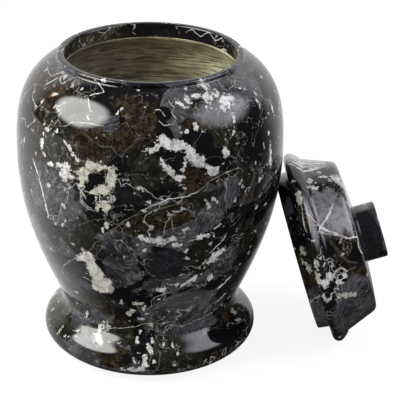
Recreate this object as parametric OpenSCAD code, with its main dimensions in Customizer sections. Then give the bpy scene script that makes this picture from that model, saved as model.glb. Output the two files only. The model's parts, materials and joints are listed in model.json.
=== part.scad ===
// Turned stone cremation urn with its lid lifted off. The body is one hollow turning with a bulging foot, a narrow
// waist, a wide belly and a thin collar. The lid is one solid turning: a spigot, a beaded rim, a tapered band, a
// slightly domed top and a short knob. It stands on its rim beside the urn and leans on the belly. All sizes are in
// millimetres.

/* [Body] */
// Height of the body, from the underside to the top of the collar
body_h = 230; // [190:1:280]
// Widest diameter of the belly
belly_d = 194; // [160:1:240]
// Height of the widest part of the belly
belly_z = 157; // [135:1:175]
// Diameter of the waist above the foot
waist_d = 130; // [105:1:156]
// Height of the waist
waist_z = 40; // [33:1:48]
// Widest diameter of the foot
foot_d = 159; // [130:1:190]
// Height of the widest part of the foot
foot_z = 17; // [12:1:21]
// Diameter of the flat underside
base_d = 118; // [95:1:128]

/* [Mouth] */
// Diameter of the straight mouth that the lid drops into
mouth_d = 123; // [100:0.5:150]
// Depth of the polished straight band inside the mouth
mouth_depth = 10.5; // [6:0.5:13]
// Width of the collar around the mouth
collar_w = 5.5; // [4:0.5:8]
// Height of the collar above the shoulder
collar_h = 3.5; // [2.5:0.5:6]

/* [Chamber] */
// Thickness of the wall around the chamber
wall = 10; // [7:0.5:12]
// Thickness of the stone under the chamber
floor_t = 46; // [38:1:56]
// Radius where the chamber wall turns into its floor
floor_round = 20; // [14:1:24]

/* [Lid] */
// Clearance between the spigot and the mouth, on the radius
lid_clearance = 0.6; // [0.3:0.1:1.5]
// Height of the spigot under the rim
spigot_h = 9.2; // [6:0.2:12]
// How far the rim reaches past the collar
rim_overhang = 6.6; // [4:0.2:9]
// Thickness of the rounded rim
rim_t = 9.2; // [7:0.2:11]
// Height of the lid from the underside of the rim to the edge of its top
lid_h = 38; // [32:1:46]
// Diameter of the top, to where the tapered side would meet it
top_d = 119; // [96:1:130]
// Rise of the slightly domed top, from its edge to its middle
crown_h = 3.1; // [1.5:0.1:5]
// Diameter of the knob
knob_d = 43; // [35:1:52]
// Height of the knob above the middle of the domed top
knob_h = 15.5; // [12:0.1:20]

/* [Lean] */
// Angle that the lid's axis rises above level as it leans
lean = 17; // [8:0.5:24]
// Direction from the urn's axis to where the lid stands, turned from +X towards +Y
lean_side = 4.7; // [-30:0.1:30]
// Turn of the lid where it stands, from facing straight away from the urn
lean_twist = -3.4; // [-8:0.1:8]
// Gap between the lid's spigot and the belly where it leans
lean_gap = 0.3; // [0.2:0.1:1]

/* [Hidden] */
$fn = 128;

stone = "#26262b";
polished_edge = 1.2;
curve_steps = 22;

belly_r = belly_d / 2;
waist_r = waist_d / 2;
foot_r = foot_d / 2;
base_r = base_d / 2;
mouth_r = mouth_d / 2;
collar_r = mouth_r + collar_w;
collar_round = min(collar_w, collar_h) / 2;
shoulder_r = collar_r - 1;
shoulder_z = body_h - collar_h;

spigot_r = mouth_r - lid_clearance;
spigot_taper = 0.9;
rim_round = rim_t / 2;
rim_r = collar_r + rim_overhang;
cove_w = 3.6;
cove_r = 6.3;
top_round = 6.5;
rim_z = spigot_h;
top_z = rim_z + lid_h;

// A point on a cubic curve from a to d with the handles b and c, and the direction of travel there.
function curve_at(a, b, c, d, t) =
    pow(1 - t, 3) * a + 3 * pow(1 - t, 2) * t * b + 3 * (1 - t) * t * t * c + pow(t, 3) * d;
function curve_dir(a, b, c, d, t) =
    let (v = pow(1 - t, 2) * (b - a) + 2 * (1 - t) * t * (c - b) + t * t * (d - c)) v / norm(v);
function curve(k, steps = curve_steps) =
    [for (i = [0:steps]) curve_at(k[0], k[1], k[2], k[3], i / steps)];

// The same curve moved sideways, to the left of its direction of travel.
function curve_beside(k, by, steps = curve_steps) =
    [for (i = [0:steps])
        let (t = i / steps, v = curve_dir(k[0], k[1], k[2], k[3], t))
        curve_at(k[0], k[1], k[2], k[3], t) + by * [-v.y, v.x]];

// Points on an arc around a centre, from one angle to another.
function arc(centre, r, from, to, steps = 8) =
    [for (i = [0:steps]) let (a = from + (to - from) * i / steps) centre + r * [cos(a), sin(a)]];

function reversed(list) = [for (i = [len(list) - 1:-1:0]) list[i]];
function along(angle, by) = by * [cos(angle), sin(angle)];

// The outside of the body in four cubic curves, each given by its two ends and two handles.
foot_curve = [
    [base_r, 0],
    [base_r, 0] + along(14, 0.4 * (foot_r - base_r)),
    [foot_r, foot_z - 0.48 * foot_z],
    [foot_r, foot_z]];
flare_curve = [
    [foot_r, foot_z],
    [foot_r, foot_z + 0.52 * (waist_z - foot_z)],
    [waist_r, waist_z - 0.48 * (waist_z - foot_z)],
    [waist_r, waist_z]];
side_curve = [
    [waist_r, waist_z],
    [waist_r, waist_z + 0.07 * (belly_z - waist_z)],
    [belly_r, belly_z - 0.53 * (belly_z - waist_z)],
    [belly_r, belly_z]];
shoulder_curve = [
    [belly_r, belly_z],
    [belly_r, belly_z + 0.36 * (shoulder_z - belly_z)],
    [shoulder_r, shoulder_z] + along(-22, 1.1 * (belly_r - shoulder_r)),
    [shoulder_r, shoulder_z]];

function outside() = concat(curve(foot_curve, 10), curve(flare_curve, 12), curve(side_curve), curve(shoulder_curve));

function collar() = concat(
    arc([collar_r - collar_round, body_h - collar_round], collar_round, -60, 90),
    arc([mouth_r + collar_round, body_h - collar_round], collar_round, 90, 180),
    [[mouth_r, body_h - mouth_depth]]);

// The chamber follows the outside at the thickness of the wall, down to a rounded corner and a level floor.
function chamber_side() =
    [for (p = concat(curve_beside(side_curve, wall), curve_beside(shoulder_curve, wall)))
        if (p.y > floor_t + floor_round) p];
function chamber() =
    let (side = reversed(chamber_side()), end = side[len(side) - 1],
         corner = [end.x - floor_round, floor_t + floor_round])
    concat(side, arc(corner, floor_round, 0, -90), [[0, floor_t]]);

module urn_body() {
    color(stone)
        rotate_extrude()
            polygon(concat([[0, 0]], outside(), collar(), chamber()));
}

// Half of the lid's section, from the face of the spigot at height 0 up to the top of the knob.
function rim_outline() =
    let (centre = [rim_r - rim_round, rim_z + rim_round], leave = 20,
         from = centre + along(leave, rim_round),
         foot = [rim_r - cove_r, rim_z + rim_t + cove_w])
    concat(
        arc(centre, rim_round, -90, leave, 12),
        curve([from, from + along(leave + 90, 2), foot - along(159, 2), foot], 6));

// The domed top is one wide arc around crown_c. It meets the rounded edge at the angle crown_from.
edge_c = [top_d / 2 - top_round, top_z - top_round];
crown_r = (edge_c.x * edge_c.x + crown_h * crown_h) / (2 * crown_h);
crown_from = acos(edge_c.x / (crown_r - top_round));
crown_c = [0, edge_c.y - (crown_r - top_round) * sin(crown_from)];

function knob_outline() =
    let (r = knob_d / 2, side = r + polished_edge, crown_to = acos(side / crown_r),
         base = crown_c.y + crown_r * sin(crown_to), top = crown_c.y + crown_r + knob_h)
    concat(
        arc(crown_c, crown_r, crown_from, crown_to),
        arc([side, base + polished_edge], polished_edge, 270, 180, 4),
        arc([r - polished_edge, top - polished_edge], polished_edge, 0, 90, 4),
        [[0, top]]);

function lid_outline() = concat(
    [[0, 0]],
    arc([spigot_r - spigot_taper - polished_edge, polished_edge], polished_edge, -90, 0, 4),
    [[spigot_r, rim_z]],
    rim_outline(),
    arc(edge_c, top_round, 21, crown_from, 6),
    knob_outline());

// The lid stands on its rim at this height of its spigot's face, before it is pushed up to the belly.
lean_z = (rim_r - rim_round) * cos(lean) + rim_round - (rim_z + rim_round) * sin(lean);

// A point of the lid's surface, from the section's point p and the angle a around the lid's axis, as the lid leans
// with the middle of its spigot's face over the origin.
function leaning(p, a) =
    let (out = p.x * cos(a) * sin(lean) + p.y * cos(lean), across = p.x * sin(a),
         up = lean_z + p.y * sin(lean) - p.x * cos(a) * cos(lean))
    [out * cos(lean_twist) - across * sin(lean_twist), out * sin(lean_twist) + across * cos(lean_twist), up];

// How far such a point moves outwards to clear the belly, and the most that any point near the lid's top needs.
belly_radii = [for (p = concat(curve(side_curve), curve(shoulder_curve))) [p.y, p.x]];
function push(q) =
    let (clear_r = lookup(q.z, belly_radii) + lean_gap)
    sqrt(max(0, clear_r * clear_r - q.y * q.y)) - q.x;
lean_x = max([for (p = lid_outline(), a = [140:2:220]) push(leaning(p, a))]);

module lid() {
    color(stone)
        rotate([0, 0, lean_side])
            translate([lean_x, 0, lean_z])
                rotate([0, 0, lean_twist])
                    rotate([0, 90 - lean, 0])
                        rotate_extrude()
                            polygon(lid_outline());
}

urn_body();
lid();
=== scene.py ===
import json
import math
import random

import bpy
from mathutils import Euler, Matrix, Vector


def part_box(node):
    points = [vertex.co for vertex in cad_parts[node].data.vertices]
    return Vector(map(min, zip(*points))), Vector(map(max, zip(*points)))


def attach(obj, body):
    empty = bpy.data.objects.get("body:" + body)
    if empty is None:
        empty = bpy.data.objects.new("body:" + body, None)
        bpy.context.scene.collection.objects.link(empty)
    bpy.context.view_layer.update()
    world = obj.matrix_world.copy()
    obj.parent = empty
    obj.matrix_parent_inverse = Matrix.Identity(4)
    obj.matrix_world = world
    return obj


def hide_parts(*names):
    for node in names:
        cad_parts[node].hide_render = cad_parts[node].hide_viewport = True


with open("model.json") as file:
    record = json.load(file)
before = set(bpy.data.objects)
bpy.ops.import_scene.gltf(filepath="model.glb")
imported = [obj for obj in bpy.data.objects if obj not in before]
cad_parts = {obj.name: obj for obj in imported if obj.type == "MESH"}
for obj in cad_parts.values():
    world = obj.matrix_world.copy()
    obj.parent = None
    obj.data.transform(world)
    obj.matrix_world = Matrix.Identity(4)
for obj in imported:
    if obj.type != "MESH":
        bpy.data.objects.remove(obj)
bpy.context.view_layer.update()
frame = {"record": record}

mm = 0.001

# The camera comes first, so that the view is settled before anything is made.

view = {
    "back": 1.144,       # metres from the urn's axis, towards -Y
    "height": 0.632,
    "tiltDown": 24.37,   # degrees
    "turnRight": 1.85,
    "roll": 0.95,
    "lens": 152.6,       # millimetres on a 36 mm sensor
}


def makeCamera(setting):
    down, turn, roll = (math.radians(setting[k]) for k in ("tiltDown", "turnRight", "roll"))
    forward = Vector((math.sin(turn) * math.cos(down), math.cos(turn) * math.cos(down), -math.sin(down)))
    level = Vector((math.cos(turn), -math.sin(turn), 0))
    upright = level.cross(forward)
    right = level * math.cos(roll) + upright * math.sin(roll)
    up = upright * math.cos(roll) - level * math.sin(roll)
    data = bpy.data.cameras.new("studioCamera")
    data.lens = setting["lens"]
    data.sensor_width = 36
    camera = bpy.data.objects.new("studioCamera", data)
    camera.matrix_world = Matrix((
        (right.x, up.x, -forward.x, 0),
        (right.y, up.y, -forward.y, -setting["back"]),
        (right.z, up.z, -forward.z, setting["height"]),
        (0, 0, 0, 1)))
    bpy.context.scene.collection.objects.link(camera)
    bpy.context.scene.camera = camera


makeCamera(view)
bpy.context.scene.view_settings.view_transform = "Standard"
print("camera placed")

# Outlines are points of radius and height in metres, from the underside or the spigot's face upwards.


def curveAt(a, b, c, d, t):
    return a * (1 - t) ** 3 + b * (3 * t * (1 - t) ** 2) + c * (3 * t * t * (1 - t)) + d * t ** 3


def curvePoints(handles, steps):
    return [curveAt(*handles, i / steps) for i in range(steps + 1)]


def besideCurve(handles, steps, by):
    # the curve moved to the left of its own direction
    points = []
    for i in range(steps + 1):
        t = i / steps
        a, b, c, d = handles
        run = (b - a) * (1 - t) ** 2 + (c - b) * 2 * t * (1 - t) + (d - c) * t * t
        run.normalize()
        points.append(curveAt(a, b, c, d, t) + Vector((-run.y, run.x)) * by)
    return points


def arcPoints(centre, radius, start, end, steps):
    angles = [math.radians(start + (end - start) * i / steps) for i in range(steps + 1)]
    return [centre + Vector((math.cos(a), math.sin(a))) * radius for a in angles]


def towards(degrees, by):
    return Vector((math.cos(math.radians(degrees)), math.sin(math.radians(degrees)))) * by


mouthMount = next(m for m in frame["record"]["mounts"] if m["name"] == "mouth")
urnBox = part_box("urn_body")

urn = {
    "height": urnBox[1][2],
    "bellyRadius": 0.0970,
    "bellyHeight": 0.157,
    "waistRadius": 0.065,
    "waistHeight": 0.040,
    "footRadius": 0.0795,
    "footHeight": 0.017,
    "baseRadius": 0.059,
    "mouthRadius": mouthMount["dims"]["r_mm"] * mm,
    "mouthDepth": 0.0105,
    "collarWidth": 0.0055,
    "collarHeight": 0.0035,
    "wall": 0.010,
    "floorThickness": 0.046,
    "floorRound": 0.020,
    "segments": 144,
    "toolPitch": 0.0021,   # height of one turned groove inside the chamber
    "toolDepth": 0.00034,
}


def urnOutline(sizes):
    base = Vector((sizes["baseRadius"], 0))
    foot = Vector((sizes["footRadius"], sizes["footHeight"]))
    waist = Vector((sizes["waistRadius"], sizes["waistHeight"]))
    belly = Vector((sizes["bellyRadius"], sizes["bellyHeight"]))
    collarRadius = sizes["mouthRadius"] + sizes["collarWidth"]
    shoulder = Vector((collarRadius - 1 * mm, sizes["height"] - sizes["collarHeight"]))
    up = Vector((0, 1))
    rise = waist.y - foot.y
    footCurve = [base, base + towards(14, 0.4 * (foot.x - base.x)), foot - up * 0.48 * foot.y, foot]
    flareCurve = [foot, foot + up * 0.52 * rise, waist - up * 0.48 * rise, waist]
    sideRise = belly.y - waist.y
    sideCurve = [waist, waist + up * 0.07 * sideRise, belly - up * 0.53 * sideRise, belly]
    shoulderCurve = [belly, belly + up * 0.36 * (shoulder.y - belly.y),
                     shoulder + towards(-22, 1.1 * (belly.x - shoulder.x)), shoulder]
    outside = [Vector((sizes["baseRadius"] * i / 8, 0)) for i in range(8)]
    for handles, steps in ((footCurve, 14), (flareCurve, 14), (sideCurve, 36), (shoulderCurve, 40)):
        outside += curvePoints(handles, steps)[outside[-1].y > 0:]
    rounding = min(sizes["collarWidth"], sizes["collarHeight"]) / 2
    top = sizes["height"] - rounding
    outside += arcPoints(Vector((collarRadius - rounding, top)), rounding, -60, 90, 9)
    outside += arcPoints(Vector((sizes["mouthRadius"] + rounding, top)), rounding, 90, 180, 7)
    bandEnd = sizes["height"] - sizes["mouthDepth"]
    outside += [Vector((sizes["mouthRadius"], top + (bandEnd - top) * i / 6)) for i in range(1, 7)]
    # the chamber follows the outside at the wall's thickness, from the mouth down
    limit = sizes["floorThickness"] + sizes["floorRound"]
    inside = besideCurve(sideCurve, 90, sizes["wall"]) + besideCurve(shoulderCurve, 90, sizes["wall"])[1:]
    inside = [p for p in inside if p.y > limit][::-1]
    corner = Vector((inside[-1].x - sizes["floorRound"], limit))
    return outside, inside, corner


def evenly(points, step):
    # the same line with its points at even steps along it
    total = sum((b - a).length for a, b in zip(points, points[1:]))
    count = max(2, round(total / step))
    result, travelled, k = [], 0.0, 0
    for i in range(count + 1):
        want = total * i / count
        while k < len(points) - 2 and travelled + (points[k + 1] - points[k]).length < want:
            travelled += (points[k + 1] - points[k]).length
            k += 1
        length = (points[k + 1] - points[k]).length
        result.append(points[k].lerp(points[k + 1], min(1, (want - travelled) / max(length, 1e-9))))
    return result


def toolMarks(points, sizes):
    # each turned groove has its own depth, and reaches into the wall
    marks = random.Random(7)
    depths = {}
    result = []
    travelled = 0.0
    for i, p in enumerate(points):
        if i:
            travelled += (p - points[i - 1]).length
        number = int(travelled / sizes["toolPitch"])
        depth = depths.setdefault(number, sizes["toolDepth"] * marks.uniform(0.35, 1.0))
        along = travelled / sizes["toolPitch"] - number
        run = (points[min(i + 1, len(points) - 1)] - points[max(i - 1, 0)]).normalized()
        fade = min(1, i / 6, (len(points) - 1 - i) / 6)
        result.append(p + Vector((-run.y, run.x)) * depth * math.sin(math.pi * along) ** 2 * fade)
    return result


def lengthsAlong(points):
    lengths = [0.0]
    for a, b in zip(points, points[1:]):
        lengths.append(lengths[-1] + (b - a).length)
    return lengths


def revolve(name, points, segments, unrollRadius, rowSlots):
    # A closed turning with a map of its unrolled surface in metres. Across is the angle from the front, and
    # up is the length along the outline.
    lengths = lengthsAlong(points)
    vertices, rows = [], []
    for p in points:
        if p.x < 1e-7:
            rows.append([len(vertices)] * (segments + 1))
            vertices.append((0, 0, p.y))
            continue
        first = len(vertices)
        for j in range(segments):
            a = -math.pi + 2 * math.pi * j / segments
            vertices.append((p.x * math.sin(a), -p.x * math.cos(a), p.y))
        rows.append([first + j for j in range(segments)] + [first])
    faces, places, slots = [], [], []
    for i in range(len(points) - 1):
        for j in range(segments):
            corners = [(i, j), (i, j + 1), (i + 1, j + 1), (i + 1, j)]
            if points[i].x < 1e-7:
                corners.pop(1)
            elif points[i + 1].x < 1e-7:
                corners.pop(3)
            faces.append([rows[r][c] for r, c in corners])
            for row, column in corners:
                places.append(((2 * column / segments - 1) * math.pi * unrollRadius, lengths[row]))
            slots.append(rowSlots[i])
    mesh = bpy.data.meshes.new(name)
    mesh.from_pydata(vertices, [], faces)
    unrolled = mesh.uv_layers.new(name="unrolled")
    for loop, place in zip(unrolled.data, places):
        loop.uv = place
    for polygon, slot in zip(mesh.polygons, slots):
        polygon.use_smooth = True
        polygon.material_index = slot
    mesh.validate()
    piece = bpy.data.objects.new(name, mesh)
    bpy.context.scene.collection.objects.link(piece)
    return piece


def lengthAtHeight(points, height):
    # how far along the outline a height lies on the way up; more than the top's height runs on past the top
    lengths = lengthsAlong(points)
    for i in range(len(points) - 1):
        low, high = points[i].y, points[i + 1].y
        if low <= height < high:
            return lengths[i] + (height - low) / (high - low) * (lengths[i + 1] - lengths[i])
    top = max(range(len(points)), key=lambda i: points[i].y)
    return lengths[top] + height - points[top].y


# shader helpers


def addNode(tree, kind, **settings):
    node = tree.nodes.new("ShaderNode" + kind)
    for key, value in settings.items():
        setattr(node, key, value)
    return node


def feed(tree, socket, value):
    if isinstance(value, bpy.types.NodeSocket):
        tree.links.new(value, socket)
    elif value is not None:
        socket.default_value = value


def maths(tree, operation, a, b=None, c=None):
    node = addNode(tree, "Math", operation=operation)
    for socket, value in zip(node.inputs, (a, b, c)):
        feed(tree, socket, value)
    return node.outputs[0]


def vectorMaths(tree, operation, a, b=None, scale=None):
    node = addNode(tree, "VectorMath", operation=operation)
    feed(tree, node.inputs[0], a)
    feed(tree, node.inputs[1], b)
    feed(tree, node.inputs[3], scale)
    return node.outputs[int(operation in ("LENGTH", "DOT_PRODUCT"))]


def ramp(tree, value, low, high, toLow=0.0, toHigh=1.0):
    # a smooth step from toLow to toHigh as value goes from low to high
    node = addNode(tree, "MapRange", interpolation_type="SMOOTHSTEP", clamp=False)
    for socket, v in zip(node.inputs, (value, low, high, toLow, toHigh)):
        feed(tree, socket, v)
    return node.outputs[0]


def mixColour(tree, factor, a, b, blend="MIX"):
    node = addNode(tree, "Mix", data_type="RGBA", blend_type=blend)
    feed(tree, node.inputs[0], factor)
    for socket, value in ((node.inputs[6], a), (node.inputs[7], b)):
        feed(tree, socket, (*value, 1) if isinstance(value, tuple) and len(value) == 3 else value)
    return node.outputs[2]


def noise(tree, vector, scale, detail=2.0, roughness=0.5, output="Fac"):
    node = addNode(tree, "TexNoise")
    feed(tree, node.inputs["Vector"], vector)
    feed(tree, node.inputs["Scale"], scale)
    node.inputs["Detail"].default_value = detail
    node.inputs["Roughness"].default_value = roughness
    return node.outputs[output]


def newGroup(name, inputs, outputs):
    tree = bpy.data.node_groups.new(name, "ShaderNodeTree")
    for label, kind, value in inputs:
        socket = tree.interface.new_socket(name=label, in_out="INPUT", socket_type="NodeSocket" + kind)
        if value is not None:
            socket.default_value = value
    for label, kind in outputs:
        tree.interface.new_socket(name=label, in_out="OUTPUT", socket_type="NodeSocket" + kind)
    return tree, tree.nodes.new("NodeGroupInput").outputs, tree.nodes.new("NodeGroupOutput").inputs


def useGroup(tree, group, **values):
    node = addNode(tree, "Group", node_tree=group)
    for label, value in values.items():
        feed(tree, node.inputs[label], value)
    return node.outputs


# effects that the stones share


def stonePatchGroup():
    # a ragged oval inclusion, placed on the unrolled surface
    tree, given, made = newGroup("stonePatch", [
        ("Vector", "Vector", None), ("Centre", "Vector", None),
        ("Along", "Vector", None), ("Across", "Vector", None),
        ("Noise", "Float", 0.5), ("Ragged", "Float", 0.8), ("Softness", "Float", 0.08),
    ], [("Mask", "Float")])
    spot = vectorMaths(tree, "SUBTRACT", given["Vector"], given["Centre"])
    x = vectorMaths(tree, "DOT_PRODUCT", spot, given["Along"])
    y = vectorMaths(tree, "DOT_PRODUCT", spot, given["Across"])
    away = maths(tree, "SQRT", maths(tree, "MULTIPLY_ADD", x, x, maths(tree, "MULTIPLY", y, y)))
    away = maths(tree, "MULTIPLY_ADD", given["Noise"], given["Ragged"], away)
    inner = maths(tree, "SUBTRACT", 1.0, given["Softness"])
    outer = maths(tree, "ADD", 1.0, given["Softness"])
    feed(tree, made["Mask"], ramp(tree, away, inner, outer, 1.0, 0.0))
    return tree


def stoneVeinGroup():
    # one straight run of a vein
    tree, given, made = newGroup("stoneVein", [
        ("Vector", "Vector", None), ("Centre", "Vector", None),
        ("Along", "Vector", None), ("Across", "Vector", None),
        ("Half", "Float", 0.01), ("Width", "Float", 0.001), ("Strength", "Float", 1.0),
    ], [("Mask", "Float")])
    spot = vectorMaths(tree, "SUBTRACT", given["Vector"], given["Centre"])
    x = maths(tree, "ABSOLUTE", vectorMaths(tree, "DOT_PRODUCT", spot, given["Along"]))
    x = maths(tree, "MAXIMUM", maths(tree, "SUBTRACT", x, given["Half"]), 0.0)
    y = vectorMaths(tree, "DOT_PRODUCT", spot, given["Across"])
    away = maths(tree, "SQRT", maths(tree, "MULTIPLY_ADD", x, x, maths(tree, "MULTIPLY", y, y)))
    inner = maths(tree, "MULTIPLY", given["Width"], 0.35)
    feed(tree, made["Mask"], ramp(tree, away, inner, given["Width"], given["Strength"], 0.0))
    return tree


def fragmentsGroup():
    # broken stone: a tone for each fragment and the seam between fragments
    tree, given, made = newGroup("fragments", [
        ("Vector", "Vector", None), ("Scale", "Float", 30.0), ("Seam", "Float", 0.03),
    ], [("Tone", "Float"), ("Seam", "Float")])
    cells = addNode(tree, "TexVoronoi", feature="F1")
    edges = addNode(tree, "TexVoronoi", feature="DISTANCE_TO_EDGE")
    for node in (cells, edges):
        feed(tree, node.inputs["Vector"], given["Vector"])
        feed(tree, node.inputs["Scale"], given["Scale"])
    split = addNode(tree, "SeparateColor")
    feed(tree, split.inputs[0], cells.outputs["Color"])
    feed(tree, made["Tone"], split.outputs[0])
    feed(tree, made["Seam"], ramp(tree, edges.outputs["Distance"], 0.0, given["Seam"], 1.0, 0.0))
    return tree


def grainGroup():
    # speckle of fine mineral grains between two tones, with bright flecks
    tree, given, made = newGroup("mineralGrain", [
        ("Vector", "Vector", None), ("Dark", "Color", None), ("Light", "Color", None),
        ("Size", "Float", 420.0), ("Bias", "Float", 0.5),
    ], [("Color", "Color"), ("Flecks", "Float")])
    coarse = noise(tree, given["Vector"], maths(tree, "MULTIPLY", given["Size"], 0.3), 3.0, 0.6)
    fine = noise(tree, given["Vector"], given["Size"], 2.0, 0.7)
    both = maths(tree, "ADD", maths(tree, "MULTIPLY", coarse, 0.55), maths(tree, "MULTIPLY", fine, 0.45))
    low = maths(tree, "SUBTRACT", given["Bias"], 0.1)
    high = maths(tree, "ADD", given["Bias"], 0.16)
    mask = ramp(tree, both, low, high)
    feed(tree, made["Color"], mixColour(tree, mask, given["Dark"], given["Light"]))
    fleckLow = maths(tree, "ADD", given["Bias"], 0.13)
    fleckHigh = maths(tree, "ADD", given["Bias"], 0.2)
    feed(tree, made["Flecks"], ramp(tree, both, fleckLow, fleckHigh))
    return tree


def veinNetGroup():
    # fine pale veins that come and go
    tree, given, made = newGroup("veinNet", [
        ("Vector", "Vector", None), ("Scale", "Float", 20.0),
        ("Width", "Float", 0.02), ("Cover", "Float", 0.5),
    ], [("Mask", "Float")])
    field = noise(tree, given["Vector"], given["Scale"], 4.0, 0.55)
    away = maths(tree, "ABSOLUTE", maths(tree, "SUBTRACT", field, 0.5))
    line = ramp(tree, away, 0.0, given["Width"], 1.0, 0.0)
    patchy = noise(tree, given["Vector"], maths(tree, "MULTIPLY", given["Scale"], 0.45), 1.0)
    there = ramp(tree, patchy, given["Cover"], maths(tree, "ADD", given["Cover"], 0.08))
    feed(tree, made["Mask"], maths(tree, "MULTIPLY", line, there))
    return tree


patchGroup = stonePatchGroup()
veinGroup = stoneVeinGroup()
fragments = fragmentsGroup()
mineralGrain = grainGroup()
veinNet = veinNetGroup()
print("shared stone effects ready")

# polished marble

# Noise scales. A larger number is finer.
grain = {
    "bend": 24.0,         # bends all that follows
    "fragments": 26.0,
    "clouds": 60.0,
    "streaks": 210.0,
    "olive": 520.0,
    "brown": 800.0,
    "edges": 90.0,        # pushes the edges of the zones and patches about
    "sway": 55.0,         # and the veins
    "chips": 540.0,
    "jag": 330.0,
    "jagWide": 110.0,
    "crumbs": 330.0,
    "mottle": 240.0,
}

# strength of the fine veins and crumbs that lie over most of the stone
smallMarks = {
    "net": 0.55,
    "fineNet": 0.36,
    "crumbs": 0.65,
}

polish = {
    "roughness": (0.05, 0.085),
    "ior": 1.5,
    "bump": 0.05,
}

marbleTones = {
    "black": (0.0045, 0.0042, 0.0050),
    "charcoal": (0.015, 0.0145, 0.0165),
    "oliveDark": (0.0075, 0.0072, 0.0052),
    "oliveLight": (0.030, 0.028, 0.021),
    "brownDark": (0.0075, 0.0056, 0.0040),
    "brownLight": (0.050, 0.036, 0.021),
    "rust": (0.110, 0.046, 0.010),
    "slateDark": (0.016, 0.016, 0.0180),
    "slateLight": (0.060, 0.060, 0.066),
    "paleSlate": (0.17, 0.17, 0.18),
    "slateBlue": (0.0125, 0.0122, 0.0155),
    "white": (0.56, 0.555, 0.54),
    "cream": (0.46, 0.45, 0.385),
    "beige": (0.52, 0.505, 0.455),
    "plum": (0.016, 0.008, 0.008),
    "oliveVein": (0.115, 0.10, 0.07),
}

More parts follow.
